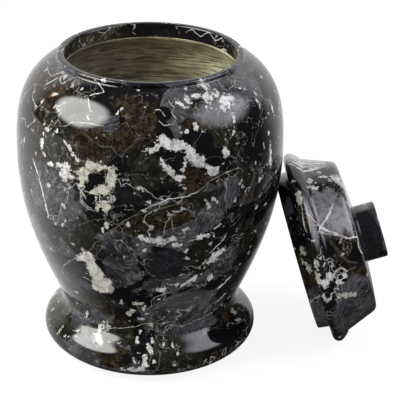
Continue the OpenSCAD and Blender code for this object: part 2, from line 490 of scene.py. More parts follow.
# The urn's marble. A place is an angle in degrees from the front, towards +X, and a height in millimetres.
# A height above the top runs on down the band inside the mouth.
# zones, patches and holes: kind, place, half length and half width in millimetres, slope in degrees, and
# raggedness. Zones of the kind "plain" keep the fine veins away, and holes lie over the patches.
# veins: tone, places, half width in millimetres, waver in millimetres, strength.
urnStone = {
    "zones": [
        ("black", (0, 237), (3000, 8), 0, 0.6),
        ("plain", (7, 104), (14, 12), 0, 0.7),
        ("plain", (-38, 91), (10, 7), 10, 0.8),
        ("plain", (40, 26), (30, 8), 0, 0.8),
        ("slate", (-45, 146), (26, 26), 20, 1.6),
        ("olive", (-50, 193), (15, 20), 0, 1.6),
        ("brown", (-58, 204), (12, 16), 0, 1.6),
        ("slate", (-62, 228), (26, 9), 0, 1.6),
        ("black", (-32, 224), (26, 7), 10, 1.6),
        ("brown", (-6, 217), (20, 10), -15, 1.6),
        ("brown", (-22, 194), (18, 11), 5, 1.8),
        ("brown", (-6, 204), (16, 12), 45, 1.8),
        ("brown", (20, 206), (12, 6), 0, 1.8),
        ("brown", (25, 190), (10, 8), -30, 1.8),
        ("olive", (-1, 174), (15, 20), 15, 1.6),
        ("black", (-10, 164), (6, 20), 6, 1.0),
        ("black", (20, 196), (12, 8), -15, 1.6),
        ("black", (30, 180), (12, 9), 0, 1.6),
        ("black", (50, 190), (16, 22), 0, 1.6),
        ("olive", (34, 214), (26, 8), -8, 1.6),
        ("olive", (14, 152), (28, 6), 14, 1.6),
        ("black", (6, 162), (16, 5), 12, 1.6),
        ("slate", (30, 154), (16, 14), 20, 1.4),
        ("black", (58, 142), (10, 26), -8, 1.0),
        ("brown", (3, 140), (24, 7), 12, 1.6),
        ("slate", (22, 138), (22, 10), 10, 1.6),
        ("slate", (-10, 122), (22, 12), 4, 1.6),
        ("slateBlue", (7, 104), (16, 14), 0, 0.7),
        ("olive", (22, 106), (13, 16), 0, 1.6),
        ("slate", (14, 86), (34, 9), 6, 1.6),
        ("slate", (-13, 98), (14, 16), -20, 1.4),
        ("olive", (48, 112), (12, 14), 0, 1.6),
        ("slateBlue", (-38, 91), (12, 8), 10, 0.8),
        ("slate", (-44, 76), (20, 8), -10, 1.6),
        ("olive", (-50, 118), (12, 14), 0, 1.6),
        ("olive", (-24, 66), (22, 5), -14, 1.6),
        ("slateBlue", (-17, 64), (9, 4), -8, 1.0),
        ("slate", (22, 52), (40, 12), 0, 1.4),
        ("olive", (-60, 26), (18, 10), 0, 1.6),
        ("olive", (-24, 34), (26, 8), 0, 1.6),
        ("brown", (-18, 22), (18, 8), 0, 1.6),
        ("olive", (8, 24), (18, 9), 0, 1.6),
        ("black", (48, 26), (34, 10), 0, 1.6),
        ("slate", (10, 41), (14, 5), 0, 1.6),
        # round the back
        ("brown", (170, 205), (24, 12), 0, 1.6),
        ("olive", (-130, 190), (24, 16), 0, 1.6),
        ("brown", (-155, 60), (20, 10), 0, 1.6),
        ("black", (100, 190), (20, 16), 0, 1.4),
    ],
    "patches": [
        # a jagged white band over the middle of the belly, with a leg that comes down beside it
        ("white", (6, 199.5), (3.5, 2.4), -40, 1.0),
        ("white", (9, 196), (8.5, 3.4), -12, 1.0),
        ("white", (14, 194), (5, 1.8), -14, 1.0),
        ("white", (16.5, 188.5), (2.6, 4.4), -20, 1.0),
        ("white", (19.5, 184), (5, 3.2), -40, 1.0),
        ("white", (24.5, 177), (4.5, 1.8), -50, 1.0),
        ("white", (26, 174), (3.4, 2.6), 10, 1.0),
        ("white", (32.5, 186.5), (2.0, 3.2), 12, 1.0),
        ("white", (5.5, 182.5), (1.4, 4.6), 22, 1.0),
        ("white", (8, 177), (1.8, 4.4), 36, 1.0),
        ("white", (11.5, 173), (3.2, 1.9), 6, 1.0),
        ("white", (14, 181), (1.2, 3.4), -30, 1.0),
        ("white", (0.5, 193), (3.6, 1.2), 18, 1.6),
        ("white", (-2, 191.5), (1.6, 1.0), 0, 1.4),
        ("white", (2.5, 195.5), (1.0, 2.2), 20, 1.4),
        ("white", (20, 206), (1.9, 2.2), 20, 1.2),
        ("white", (16, 203.5), (1.5, 0.9), 0, 0.8),
        ("white", (23, 202.5), (1.1, 0.8), 0, 0.8),
        ("white", (37.5, 198), (0.9, 3.0), -25, 1.2),
        ("white", (39.5, 205), (0.8, 2.2), 0, 1.0),
        # a cream ring on the left, its foot and the whites beside it
        ("cream", (-22, 178.5), (6.5, 1.8), 0, 1.2),
        ("cream", (-25, 178), (3.2, 3.0), 0, 1.2),
        ("cream", (-15.5, 172), (2.4, 7.5), 0, 1.0),
        ("cream", (-27.5, 171.5), (4.2, 4.4), 30, 0.9),
        ("cream", (-28.5, 165), (1.3, 4.0), -20, 1.0),
        ("cream", (-19.5, 161.5), (7.0, 2.6), 22, 1.0),
        ("cream", (-18.5, 150), (3.2, 3.4), 10, 0.5),
        ("cream", (-21.5, 148), (1.0, 2.6), 0, 0.5),
        ("cream", (-17.5, 136), (2.0, 1.6), 0, 0.9),
        ("cream", (-23, 154.5), (1.6, 2.6), -40, 0.8),
        ("white", (-37, 169.5), (3.2, 5.2), -12, 1.6),
        ("white", (-40, 173), (2.4, 1.6), -30, 1.6),
        ("white", (-35.5, 167), (3.2, 1.4), 0, 1.4),
        ("white", (-45.5, 171.5), (2.6, 1.4), 0, 1.2),
        ("white", (-34, 185.5), (8, 1.1), -40, 0.7),
        ("white", (-51, 183), (1.2, 3.4), 0, 1.4),
        ("white", (-51, 190), (0.9, 1.8), 0, 1.0),
        ("white", (-48.5, 198), (0.9, 2.6), -20, 1.0),
        ("white", (-43, 195), (1.0, 1.8), -30, 1.0),
        ("white", (-58, 208), (1.0, 3.0), 0, 1.2),
        # a long beige inclusion that slants down to the right
        ("beige", (-29.5, 104.5), (6.5, 4.2), 18, 0.7),
        ("beige", (-26.5, 93), (5.4, 9.0), 20, 0.5),
        ("beige", (-24, 81.5), (8.4, 8.2), -10, 0.45),
        ("beige", (-27, 77), (5.0, 4.0), 0, 0.45),
        ("beige", (-33, 102), (4, 2.2), 30, 0.8),
        # white clusters across the lower belly
        ("white", (-3, 128), (2.8, 1.8), -30, 1.2),
        ("white", (3, 125), (5.6, 2.2), -4, 1.0),
        ("white", (9, 126), (2.6, 1.4), 10, 1.2),
        ("white", (11, 121), (3.6, 1.5), -12, 1.0),
        ("white", (15.5, 115), (2.0, 0.8), 20, 1.0),
        ("white", (-2.5, 117.5), (1.8, 0.8), 40, 1.0),
        ("white", (24, 125.5), (5.0, 1.3), -6, 1.2),
        ("white", (21.5, 124), (1.6, 1.0), 30, 1.2),
        ("white", (30, 105), (5.4, 2.6), 45, 2.2),
        ("white", (33, 107), (3.4, 1.6), 45, 2.0),
        ("white", (20, 87), (6.2, 1.3), 34, 1.8),
        ("white", (30.5, 86), (2.2, 2.6), 20, 1.6),
        ("white", (5.5, 81), (3.2, 1.9), -10, 1.4),
        ("white", (42, 75), (7, 1.0), 36, 1.4),
        ("white", (46, 59), (4.5, 0.8), 40, 1.4),
        # above and on the foot
        ("cream", (-12, 55), (2.6, 2.6), 10, 0.7),
        ("cream", (-9.5, 58.5), (2.8, 2.2), 40, 0.7),
        ("cream", (-6.5, 67), (4.6, 1.3), -8, 0.9),
        ("cream", (-3, 63), (1.4, 2.6), -30, 0.8),
        ("white", (-5, 51), (2.6, 1.3), 14, 0.9),
        ("white", (-1.5, 57), (0.8, 1.2), 0, 0.6),
        ("cream", (1, 44), (2.0, 1.6), -30, 0.8),
        ("white", (-31, 38), (1.4, 3.8), -20, 1.8),
        ("white", (-33.5, 35), (1.2, 3.0), 10, 1.8),
        ("white", (-28.5, 40), (1.0, 3.6), -10, 1.6),
        ("white", (-32, 29.5), (4.5, 2.2), -20, 2.6),
        ("white", (-44.5, 42.5), (1.3, 5.0), -32, 1.2),
        ("white", (-48.5, 29.5), (3.2, 0.8), 18, 0.8),
        ("cream", (-60, 26), (1.2, 2.6), 0, 1.8),
        ("white", (-6, 37.5), (0.9, 1.8), 0, 0.8),
        ("white", (-7.5, 32.5), (1.4, 2.8), 20, 0.9),
        ("white", (1.5, 33), (0.8, 3.4), 14, 0.8),
        ("white", (0, 28.5), (1.8, 4.6), 26, 0.8),
        ("white", (-2, 21), (1.5, 5.0), 4, 0.9),
        ("white", (-4, 15), (3.4, 2.6), 20, 0.8),
        ("white", (-8.5, 14), (5.4, 1.6), 4, 0.7),
        ("white", (-14.5, 13.5), (2.0, 1.4), -20, 1.0),
        ("white", (2, 21.5), (1.8, 0.8), 30, 1.0),
        ("white", (8, 30), (1.0, 1.8), -20, 0.9),
        ("white", (13.5, 30), (0.7, 2.6), 6, 0.9),
        ("white", (68, 34), (2.4, 2.6), 30, 1.4),
        # lace of white along the right of the shoulder
        ("white", (14.5, 219), (3.6, 1.4), -30, 1.2),
        ("white", (19, 220.5), (1.7, 3.0), 10, 1.4),
        ("white", (24.5, 222), (3.4, 1.4), 0, 2.0),
        ("white", (30, 220.5), (3.4, 3.2), 0, 1.8),
        ("white", (35.5, 221), (3.4, 2.0), 20, 2.2),
        ("white", (38.5, 216), (4.0, 3.6), 40, 2.6),
        ("white", (32, 226), (3.4, 2.6), -40, 2.8),
        ("white", (54, 219), (3.2, 0.6), -34, 0.6),
        ("white", (60, 214), (0.8, 1.4), 0, 0.8),
        ("white", (58, 210.5), (0.9, 1.2), 0, 0.8),
        ("white", (68.5, 200), (0.7, 4.4), -10, 0.8),
        ("white", (60, 186), (1.2, 1.0), 0, 1.0),
        ("white", (61, 170), (1.2, 5.0), 0, 2.4),
        # round the back
        ("white", (165, 192), (9, 3.0), -16, 1.2),
        ("white", (156, 183), (3.0, 6.0), 20, 1.2),
        ("white", (150, 176), (4.5, 2.0), -30, 1.2),
        ("cream", (-150, 168), (7, 3.6), 20, 1.0),
        ("cream", (-143, 158), (2.6, 6.5), 10, 0.9),
        ("beige", (-168, 96), (5, 9), 24, 0.5),
        ("white", (118, 148), (7, 2.2), 30, 1.4),
        ("white", (128, 108), (6, 1.6), -24, 1.4),
        ("white", (-118, 130), (5.5, 2.0), 12, 1.4),
        ("white", (-105, 205), (4.5, 2.2), -20, 1.6),
        ("white", (175, 24), (5, 2), 20, 1.0),
        ("cream", (-125, 44), (3, 4), 0, 1.0),
    ],
    "holes": [
        ("black", (-22, 169.5), (6.0, 4.4), 14, 0.9),
        ("black", (-24.5, 154), (2.8, 4.0), -30, 0.5),
        ("black", (-35.5, 184), (5.6, 0.8), -42, 0.5),
        ("black", (6.5, 215), (5.8, 5.2), 0, 0.35),
        ("black", (-12, 22), (4.4, 4.6), 0, 0.4),
        ("black", (-5, 28.5), (3.4, 3.4), 0, 0.5),
        ("black", (-59, 200), (3.0, 4.0), 0, 0.6),
        ("rust", (-55.5, 215), (1.4, 3.0), 10, 2.6),
        ("rust", (-57, 219), (1.2, 1.6), 0, 2.6),
        ("plum", (27, 168), (4.0, 1.8), 25, 2.2),
    ],
    "veins": [
        ("cream", [(-47, 86), (-47, 88), (-41, 96), (-35, 101)], 0.5, 2.5, 0.55),
        ("cream", [(-35, 85), (-30, 83)], 0.6, 1.0, 0.6),
        ("oliveVein", [(-31, 104), (-19, 128), (-12, 138), (-3, 149)], 0.5, 3.0, 0.9),
        ("white", [(-3, 149), (4, 155), (6, 157), (13, 158), (19, 161)], 0.55, 2.2, 0.8),
        ("cream", [(19, 161), (23, 165), (26, 168), (31, 171), (38, 172)], 0.55, 2.4, 0.55),
        ("oliveVein", [(-2, 147), (7, 152), (15, 154)], 0.6, 2.4, 0.9),
        ("white", [(-58, 168), (-54.5, 160), (-52, 152), (-50, 143), (-49, 128)], 0.9, 2.4, 0.95),
        ("white", [(-64, 217), (-60, 223)], 0.5, 0.6, 0.85),
        ("white", [(-34.5, 228.5), (-26, 223.5), (-32, 220.5)], 0.5, 0.8, 0.95),
        ("white", [(-32.5, 219), (-29.5, 215), (-28, 213)], 0.5, 1.0, 0.8),
        ("cream", [(-42, 199), (-36, 204), (-31, 205.5), (-21, 206)], 0.4, 1.6, 0.6),
        ("white", [(7, 149), (8.5, 146.5), (9.5, 134)], 0.35, 0.8, 0.4),
        ("white", [(15, 122), (18, 122.5), (21, 124)], 0.4, 1.0, 0.6),
        ("white", [(34.5, 121), (31.5, 115), (27.5, 109)], 0.6, 1.0, 0.8),
        ("cream", [(-27, 37), (-18, 39.5), (-10, 42), (-0.5, 46), (8, 50)], 0.4, 0.9, 0.8),
        ("cream", [(-29, 157), (-28, 149.5), (-24, 147)], 0.4, 0.6, 0.8),
        ("cream", [(-27, 159.5), (-20.5, 157), (-21, 151.5)], 0.5, 0.6, 0.8),
        ("cream", [(9, 221), (11.5, 218), (10, 215.5), (11.5, 212), (10, 209), (6.5, 208), (4, 211)],
         0.4, 0.6, 0.7),
        ("white", [(2.5, 216.5), (4.5, 217), (7, 213.5)], 0.4, 0.5, 0.75),
        ("white", [(36, 45), (38, 50), (35, 49)], 0.35, 0.8, 0.5),
        ("white", [(28, 229), (33, 225.5), (31, 222)], 0.4, 1.4, 0.6),
        ("white", [(122, 234), (129, 239), (136, 234), (143, 239), (150, 234.5), (155, 238)],
         0.5, 1.2, 0.8),
        ("white", [(-152, 234), (-146, 238), (-141, 235)], 0.5, 1.0, 0.7),
        ("white", [(-175, 120), (-160, 128), (-148, 140), (-135, 146)], 0.6, 2.6, 0.8),
        ("cream", [(105, 172), (118, 166), (132, 168), (146, 158)], 0.5, 2.6, 0.7),
        ("white", [(95, 60), (104, 78), (108, 96)], 0.5, 2.4, 0.7),
    ],
    "unrollRadius": 0.090,
}


def placeOn(stone, outline, angle, height):
    return Vector((math.radians(angle) * stone["unrollRadius"], lengthAtHeight(outline, height * mm), 0))


def stoneFields(tree, where):
    # the kinds of ground that the marble is made of
    tone = marbleTones
    streak = addNode(tree, "Mapping")
    streak.inputs["Rotation"].default_value = (0.3, -0.75, 0.4)
    streak.inputs["Scale"].default_value = (1.0, 6.0, 1.0)
    feed(tree, streak.inputs[0], where)
    streaks = noise(tree, streak.outputs[0], grain["streaks"], 4.0, 0.7)
    cloud = noise(tree, where, grain["clouds"], 3.0, 0.6)
    slate = mixColour(tree, ramp(tree, cloud, 0.35, 0.7), tone["slateDark"], tone["slateLight"])
    slate = mixColour(tree, ramp(tree, streaks, 0.51, 0.68, 0.0, 0.65), slate, tone["paleSlate"])
    slate = mixColour(tree, ramp(tree, streaks, 0.44, 0.34, 0.0, 0.6), slate, tone["black"])
    olive = useGroup(tree, mineralGrain, Vector=where, Dark=(*tone["oliveDark"], 1),
                     Light=(*tone["oliveLight"], 1), Size=grain["olive"], Bias=0.52)
    brown = useGroup(tree, mineralGrain, Vector=where, Dark=(*tone["brownDark"], 1),
                     Light=(*tone["brownLight"], 1), Size=grain["brown"], Bias=0.52)
    black = mixColour(tree, ramp(tree, cloud, 0.5, 0.75, 0.0, 0.6), tone["black"], tone["charcoal"])
    oliveFlecks = maths(tree, "MULTIPLY", olive["Flecks"], 0.55)
    brownFlecks = maths(tree, "MULTIPLY", brown["Flecks"], 0.35)
    bluePart = ramp(tree, streaks, 0.5, 0.64, 0.0, 0.35)
    return {
        "slate": slate,
        "olive": mixColour(tree, oliveFlecks, olive["Color"], tone["cream"]),
        "brown": mixColour(tree, brownFlecks, brown["Color"], tone["cream"]),
        "black": black,
        "slateBlue": mixColour(tree, bluePart, tone["slateBlue"], tone["slateLight"]),
    }


def evenNoise(tree, coordinates, scale, detail, roughness, reach):
    # a push in all three directions, at most half of reach to any side
    push = noise(tree, coordinates, scale, detail, roughness, output="Color")
    return vectorMaths(tree, "SCALE", vectorMaths(tree, "SUBTRACT", push, (0.5, 0.5, 0.5)), scale=reach)


def slopes(turn, length, width):
    # the directions along and across a sloping mark, divided by its half sizes
    c, s = math.cos(math.radians(turn)), math.sin(math.radians(turn))
    return Vector((c / length, s / length, 0)), Vector((-s / width, c / width, 0))


def gather(tree, total, mask):
    # every mask joins the rest before the next one is made, which keeps the shader small
    return mask if total is None else maths(tree, "MAXIMUM", total, mask)


def patchesOf(tree, kind, patches, placeAt, ground, field, softness):
    total = None
    for name, place, size, turn, ragged in patches:
        if name == kind:
            along, across = slopes(turn, size[0] * mm, size[1] * mm)
            mask = useGroup(tree, patchGroup, Vector=ground, Centre=placeAt(*place), Along=along,
                            Across=across, Noise=field, Ragged=ragged, Softness=softness)["Mask"]
            total = gather(tree, total, mask)
    return total


def veinsOf(tree, kind, veins, placeAt, ground, sway):
    total = None
    for name, points, width, waver, strength in veins:
        if name == kind:
            swayed = vectorMaths(tree, "ADD", ground, vectorMaths(tree, "SCALE", sway, scale=waver * mm))
            places = [placeAt(*point) for point in points]
            for a, b in zip(places, places[1:]):
                run = b - a
                along, across = slopes(math.degrees(math.atan2(run.y, run.x)), 1, 1)
                mask = useGroup(tree, veinGroup, Vector=swayed, Centre=(a + b) / 2, Along=along,
                                Across=across, Half=run.length / 2, Width=width * mm,
                                Strength=strength)["Mask"]
                total = gather(tree, total, mask)
    return total


def kindsIn(marks):
    return sorted({mark[0] for mark in marks})


def polishedMarble(name, stone, outline):
    material = bpy.data.materials.new(name)
    material.use_nodes = True
    tree = material.node_tree
    shader = tree.nodes["Principled BSDF"]
    tone = marbleTones
    coordinates = addNode(tree, "TexCoord").outputs["Object"]
    bend = evenNoise(tree, coordinates, grain["bend"], 2.0, 0.5, 0.028)
    where = vectorMaths(tree, "ADD", coordinates, bend)

    fields = stoneFields(tree, where)
    broken = useGroup(tree, fragments, Vector=where, Scale=grain["fragments"], Seam=0.009)
    colour = mixColour(tree, ramp(tree, broken["Tone"], 0.30, 0.34), fields["black"], fields["olive"])
    colour = mixColour(tree, ramp(tree, broken["Tone"], 0.52, 0.56), colour, fields["slate"])
    colour = mixColour(tree, ramp(tree, broken["Tone"], 0.84, 0.88), colour, fields["brown"])

    # places on the unrolled surface, with ragged edges from two sizes of noise
    unrolled = addNode(tree, "UVMap", uv_map="unrolled").outputs[0]
    push = evenNoise(tree, coordinates, grain["edges"], 3.0, 0.6, 0.005)
    spot = vectorMaths(tree, "MULTIPLY", vectorMaths(tree, "ADD", unrolled, push), (1, 1, 0))
    sway = evenNoise(tree, coordinates, grain["sway"], 4.0, 0.6, 1.0)
    chips = addNode(tree, "TexVoronoi", voronoi_dimensions="2D")
    feed(tree, chips.inputs["Vector"], spot)
    chips.inputs["Scale"].default_value = grain["chips"]
    chipped = vectorMaths(tree, "SUBTRACT", chips.outputs["Position"], spot)
    chipped = vectorMaths(tree, "ADD", spot, vectorMaths(tree, "SCALE", chipped, scale=0.75))
    jag = maths(tree, "SUBTRACT", noise(tree, coordinates, grain["jag"], 5.0, 0.75), 0.5)
    jagWide = maths(tree, "SUBTRACT", noise(tree, coordinates, grain["jagWide"], 3.0, 0.6), 0.5)

    def placeAt(angle, height):
        return placeOn(stone, outline, angle, height)

    for kind in ("slate", "olive", "brown", "slateBlue", "black"):
        mask = patchesOf(tree, kind, stone["zones"], placeAt, spot, jagWide, 0.06)
        if mask:
            colour = mixColour(tree, mask, colour, fields[kind])

    # seams and the net of fine veins lie over the ground, except where the stone is plain
    plain = patchesOf(tree, "plain", stone["zones"], placeAt, spot, jagWide, 0.15)
    veined = maths(tree, "SUBTRACT", 1.0, plain)
    faint = noise(tree, where, 45.0, 2.0)
    seam = maths(tree, "MULTIPLY", broken["Seam"], ramp(tree, faint, 0.5, 0.62, 0.0, 0.35))
    colour = mixColour(tree, maths(tree, "MULTIPLY", seam, veined), colour, tone["paleSlate"])
    net = useGroup(tree, veinNet, Vector=where, Scale=30.0, Width=0.010, Cover=0.52)["Mask"]
    net = maths(tree, "MULTIPLY", net, maths(tree, "MULTIPLY", veined, smallMarks["net"]))
    colour = mixColour(tree, net, colour, tone["white"])
    fine = useGroup(tree, veinNet, Vector=where, Scale=85.0, Width=0.012, Cover=0.50)["Mask"]
    fine = maths(tree, "MULTIPLY", fine, maths(tree, "MULTIPLY", veined, smallMarks["fineNet"]))
    colour = mixColour(tree, fine, colour, tone["cream"])
    small = useGroup(tree, fragments, Vector=where, Scale=grain["crumbs"], Seam=0.1)
    crumbs = maths(tree, "MULTIPLY", ramp(tree, small["Tone"], 0.92, 0.94), ramp(tree, jagWide, 0.02, 0.10))
    crumbs = maths(tree, "MULTIPLY", crumbs, maths(tree, "MULTIPLY", veined, smallMarks["crumbs"]))
    colour = mixColour(tree, crumbs, colour, tone["white"])

    mottle = noise(tree, coordinates, grain["mottle"], 3.0, 0.7)
    jagged = maths(tree, "MULTIPLY_ADD", jag, 2.9, -0.16)
    for kind in kindsIn(stone["patches"]):
        mask = patchesOf(tree, kind, stone["patches"], placeAt, chipped, jagged, 0.08)
        shade = tuple(v * 0.5 for v in tone[kind])
        shaded = mixColour(tree, ramp(tree, mottle, 0.35, 0.62), shade, tone[kind])
        colour = mixColour(tree, mask, colour, shaded)
    for kind in kindsIn(stone["holes"]):
        mask = patchesOf(tree, kind, stone["holes"], placeAt, spot, jag, 0.08)
        colour = mixColour(tree, mask, colour, tone[kind])
    worn = ramp(tree, noise(tree, coordinates, 170.0, 2.0), 0.38, 0.52, 0.4, 1.0)
    for kind in kindsIn(stone["veins"]):
        mask = maths(tree, "MULTIPLY", veinsOf(tree, kind, stone["veins"], placeAt, spot, sway), worn)
        colour = mixColour(tree, mask, colour, tone[kind])

    feed(tree, shader.inputs["Base Color"], colour)
    feed(tree, shader.inputs["Roughness"], ramp(tree, mottle, 0.3, 0.7, *polish["roughness"]))
    shader.inputs["IOR"].default_value = polish["ior"]
    bump = addNode(tree, "Bump")
    bump.inputs["Strength"].default_value = polish["bump"]
    bump.inputs["Distance"].default_value = 0.0005
    feed(tree, bump.inputs["Height"], noise(tree, coordinates, 130.0, 2.0))
    feed(tree, shader.inputs["Normal"], bump.outputs[0])
    return material


# the bare stone inside the chamber, as the lathe tool left it, with painted shade on its left half and
# painted light on its right half
turned = {
    "dark": (0.105, 0.092, 0.062),
    "light": (0.56, 0.53, 0.37),
    # painted shade for the chamber's left half and painted light for its right half, multiplied over the
    # stone
    "leftPaintedShade": (0.64, 0.60, 0.64),
    "rightPaintedLight": (1.50, 1.50, 1.38),
    "roughness": 0.85,
}


def turnedStoneWithPaintedLight(look):
    material = bpy.data.materials.new("turnedStoneWithPaintedLight")
    material.use_nodes = True
    tree = material.node_tree
    shader = tree.nodes["Principled BSDF"]
    coordinates = addNode(tree, "TexCoord").outputs["Object"]
    stretch = addNode(tree, "Mapping")
    stretch.inputs["Scale"].default_value = (0.25, 0.25, 4.0)
    feed(tree, stretch.inputs[0], coordinates)
    dashes = noise(tree, stretch.outputs[0], 210.0, 3.0, 0.7)
    cloud = noise(tree, coordinates, 40.0, 3.0, 0.6)
    grit = noise(tree, coordinates, 900.0, 2.0, 0.6)
    colour = mixColour(tree, ramp(tree, cloud, 0.3, 0.7, 0.35, 1.0), look["dark"], look["light"])
    colour = mixColour(tree, ramp(tree, dashes, 0.53, 0.42, 0.0, 0.9), colour, look["dark"])
    colour = mixColour(tree, ramp(tree, grit, 0.55, 0.7, 0.0, 0.4), colour, marbleTones["cream"])
    # painted light and shade: the right half of the chamber is made lighter and the left half darker, as if
    # lit from the left
    place = addNode(tree, "SeparateXYZ")
    feed(tree, place.inputs[0], coordinates)
    onRight = ramp(tree, place.outputs[0], -0.05, 0.05)
    tint = mixColour(tree, onRight, look["leftPaintedShade"], look["rightPaintedLight"])
    colour = mixColour(tree, 1.0, colour, tint, "MULTIPLY")
    feed(tree, shader.inputs["Base Color"], colour)
    shader.inputs["Roughness"].default_value = look["roughness"]
    bump = addNode(tree, "Bump")
    bump.inputs["Strength"].default_value = 0.5
    bump.inputs["Distance"].default_value = 0.0006
    feed(tree, bump.inputs["Height"], maths(tree, "ADD", dashes, maths(tree, "MULTIPLY", grit, 0.5)))
    feed(tree, shader.inputs["Normal"], bump.outputs[0])
    return material


# the urn


def makeUrn(sizes):
    outside, inside, corner = urnOutline(sizes)
    wallLine = toolMarks(evenly(inside, sizes["toolPitch"] / 5), sizes)
    floorRing = arcPoints(corner, sizes["floorRound"], 0, -90, 16)[1:]
    floorLine = [Vector((floorRing[-1].x * (1 - i / 10), sizes["floorThickness"])) for i in range(1, 11)]
    points = outside + wallLine + floorRing + floorLine
    polishedRows = len(outside) - 1
    slots = [int(i >= polishedRows) for i in range(len(points))]
    piece = revolve("urnBody", points, sizes["segments"], urnStone["unrollRadius"], slots)
    piece.data.materials.append(polishedMarble("polishedMarbleBody", urnStone, outside))
    piece.data.materials.append(turnedStoneWithPaintedLight(turned))
    return piece


urnBody = makeUrn(urn)
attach(urnBody, "root")
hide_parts("urn_body")
print("urn body made,", len(urnBody.data.polygons), "faces")

# the lid

lid = {
    "clearance": 0.0006,
    "spigotHeight": 0.0092,
    "spigotTaper": 0.0009,
    "rimOverhang": 0.0066,
    "rimThickness": 0.0092,
    "height": 0.038,
    "topRadius": 0.0595,
    "topRound": 0.0065,
    "crown": 0.0031,        # rise of the domed top
    "knobRadius": 0.0215,
    "knobHeight": 0.0155,   # above the middle of the dome
    "edge": 0.0012,
    "coveRun": 0.0036,
    "coveDrop": 0.0063,
    "segments": 144,
    "lean": 17.0,       # degrees above level
    "side": 4.7,        # degrees from +X towards +Y
    "twist": -3.4,
}


def lidOutline(sizes):
    spigot = urn["mouthRadius"] - sizes["clearance"]
    rimRound = sizes["rimThickness"] / 2
    rimRadius = urn["mouthRadius"] + urn["collarWidth"] + sizes["rimOverhang"]
    rimBase = sizes["spigotHeight"]
    top = rimBase + sizes["height"]
    centre = Vector((rimRadius - rimRound, rimBase + rimRound))
    leave = centre + towards(20, rimRound)
    foot = Vector((rimRadius - sizes["coveDrop"], rimBase + sizes["rimThickness"] + sizes["coveRun"]))
    knob, edge = sizes["knobRadius"], sizes["edge"]
    edgeCentre = Vector((sizes["topRadius"] - sizes["topRound"], top - sizes["topRound"]))
    crownRadius = (edgeCentre.x ** 2 + sizes["crown"] ** 2) / (2 * sizes["crown"])
    crownFrom = math.acos(edgeCentre.x / (crownRadius - sizes["topRound"]))
    crownCentre = Vector((0, edgeCentre.y - (crownRadius - sizes["topRound"]) * math.sin(crownFrom)))
    crownFrom, crownTo = math.degrees(crownFrom), math.degrees(math.acos((knob + edge) / crownRadius))
    knobTop = crownCentre.y + crownRadius + sizes["knobHeight"]
    innerFace = 55 * mm
    points = [Vector((innerFace * i / 8, 0)) for i in range(8)]
    points += arcPoints(Vector((spigot - sizes["spigotTaper"] - edge, edge)), edge, -90, 0, 6)
    points += evenly([points[-1], Vector((spigot, rimBase))], 0.002)[1:]
    points += evenly([points[-1], Vector((centre.x, rimBase))], 0.002)[1:]
    points += arcPoints(centre, rimRound, -90, 20, 18)[1:]
    points += curvePoints([leave, leave + towards(110, 2 * mm), foot - towards(159, 2 * mm), foot], 8)[1:]
    corner = arcPoints(edgeCentre, sizes["topRound"], 21, crownFrom, 10)
    points += evenly([points[-1], corner[0]], 0.002)[1:] + corner[1:]
    points += arcPoints(crownCentre, crownRadius, crownFrom, crownTo, 14)[1:]
    points += arcPoints(Vector((knob + edge, points[-1].y + edge)), edge, 270, 180, 6)[1:]
    knobEdge = arcPoints(Vector((knob - edge, knobTop - edge)), edge, 0, 90, 6)
    points += evenly([points[-1], knobEdge[0]], 0.002)[1:] + knobEdge[1:]
    return points + [Vector((knobEdge[-1].x * (1 - i / 6), knobTop)) for i in range(1, 7)]


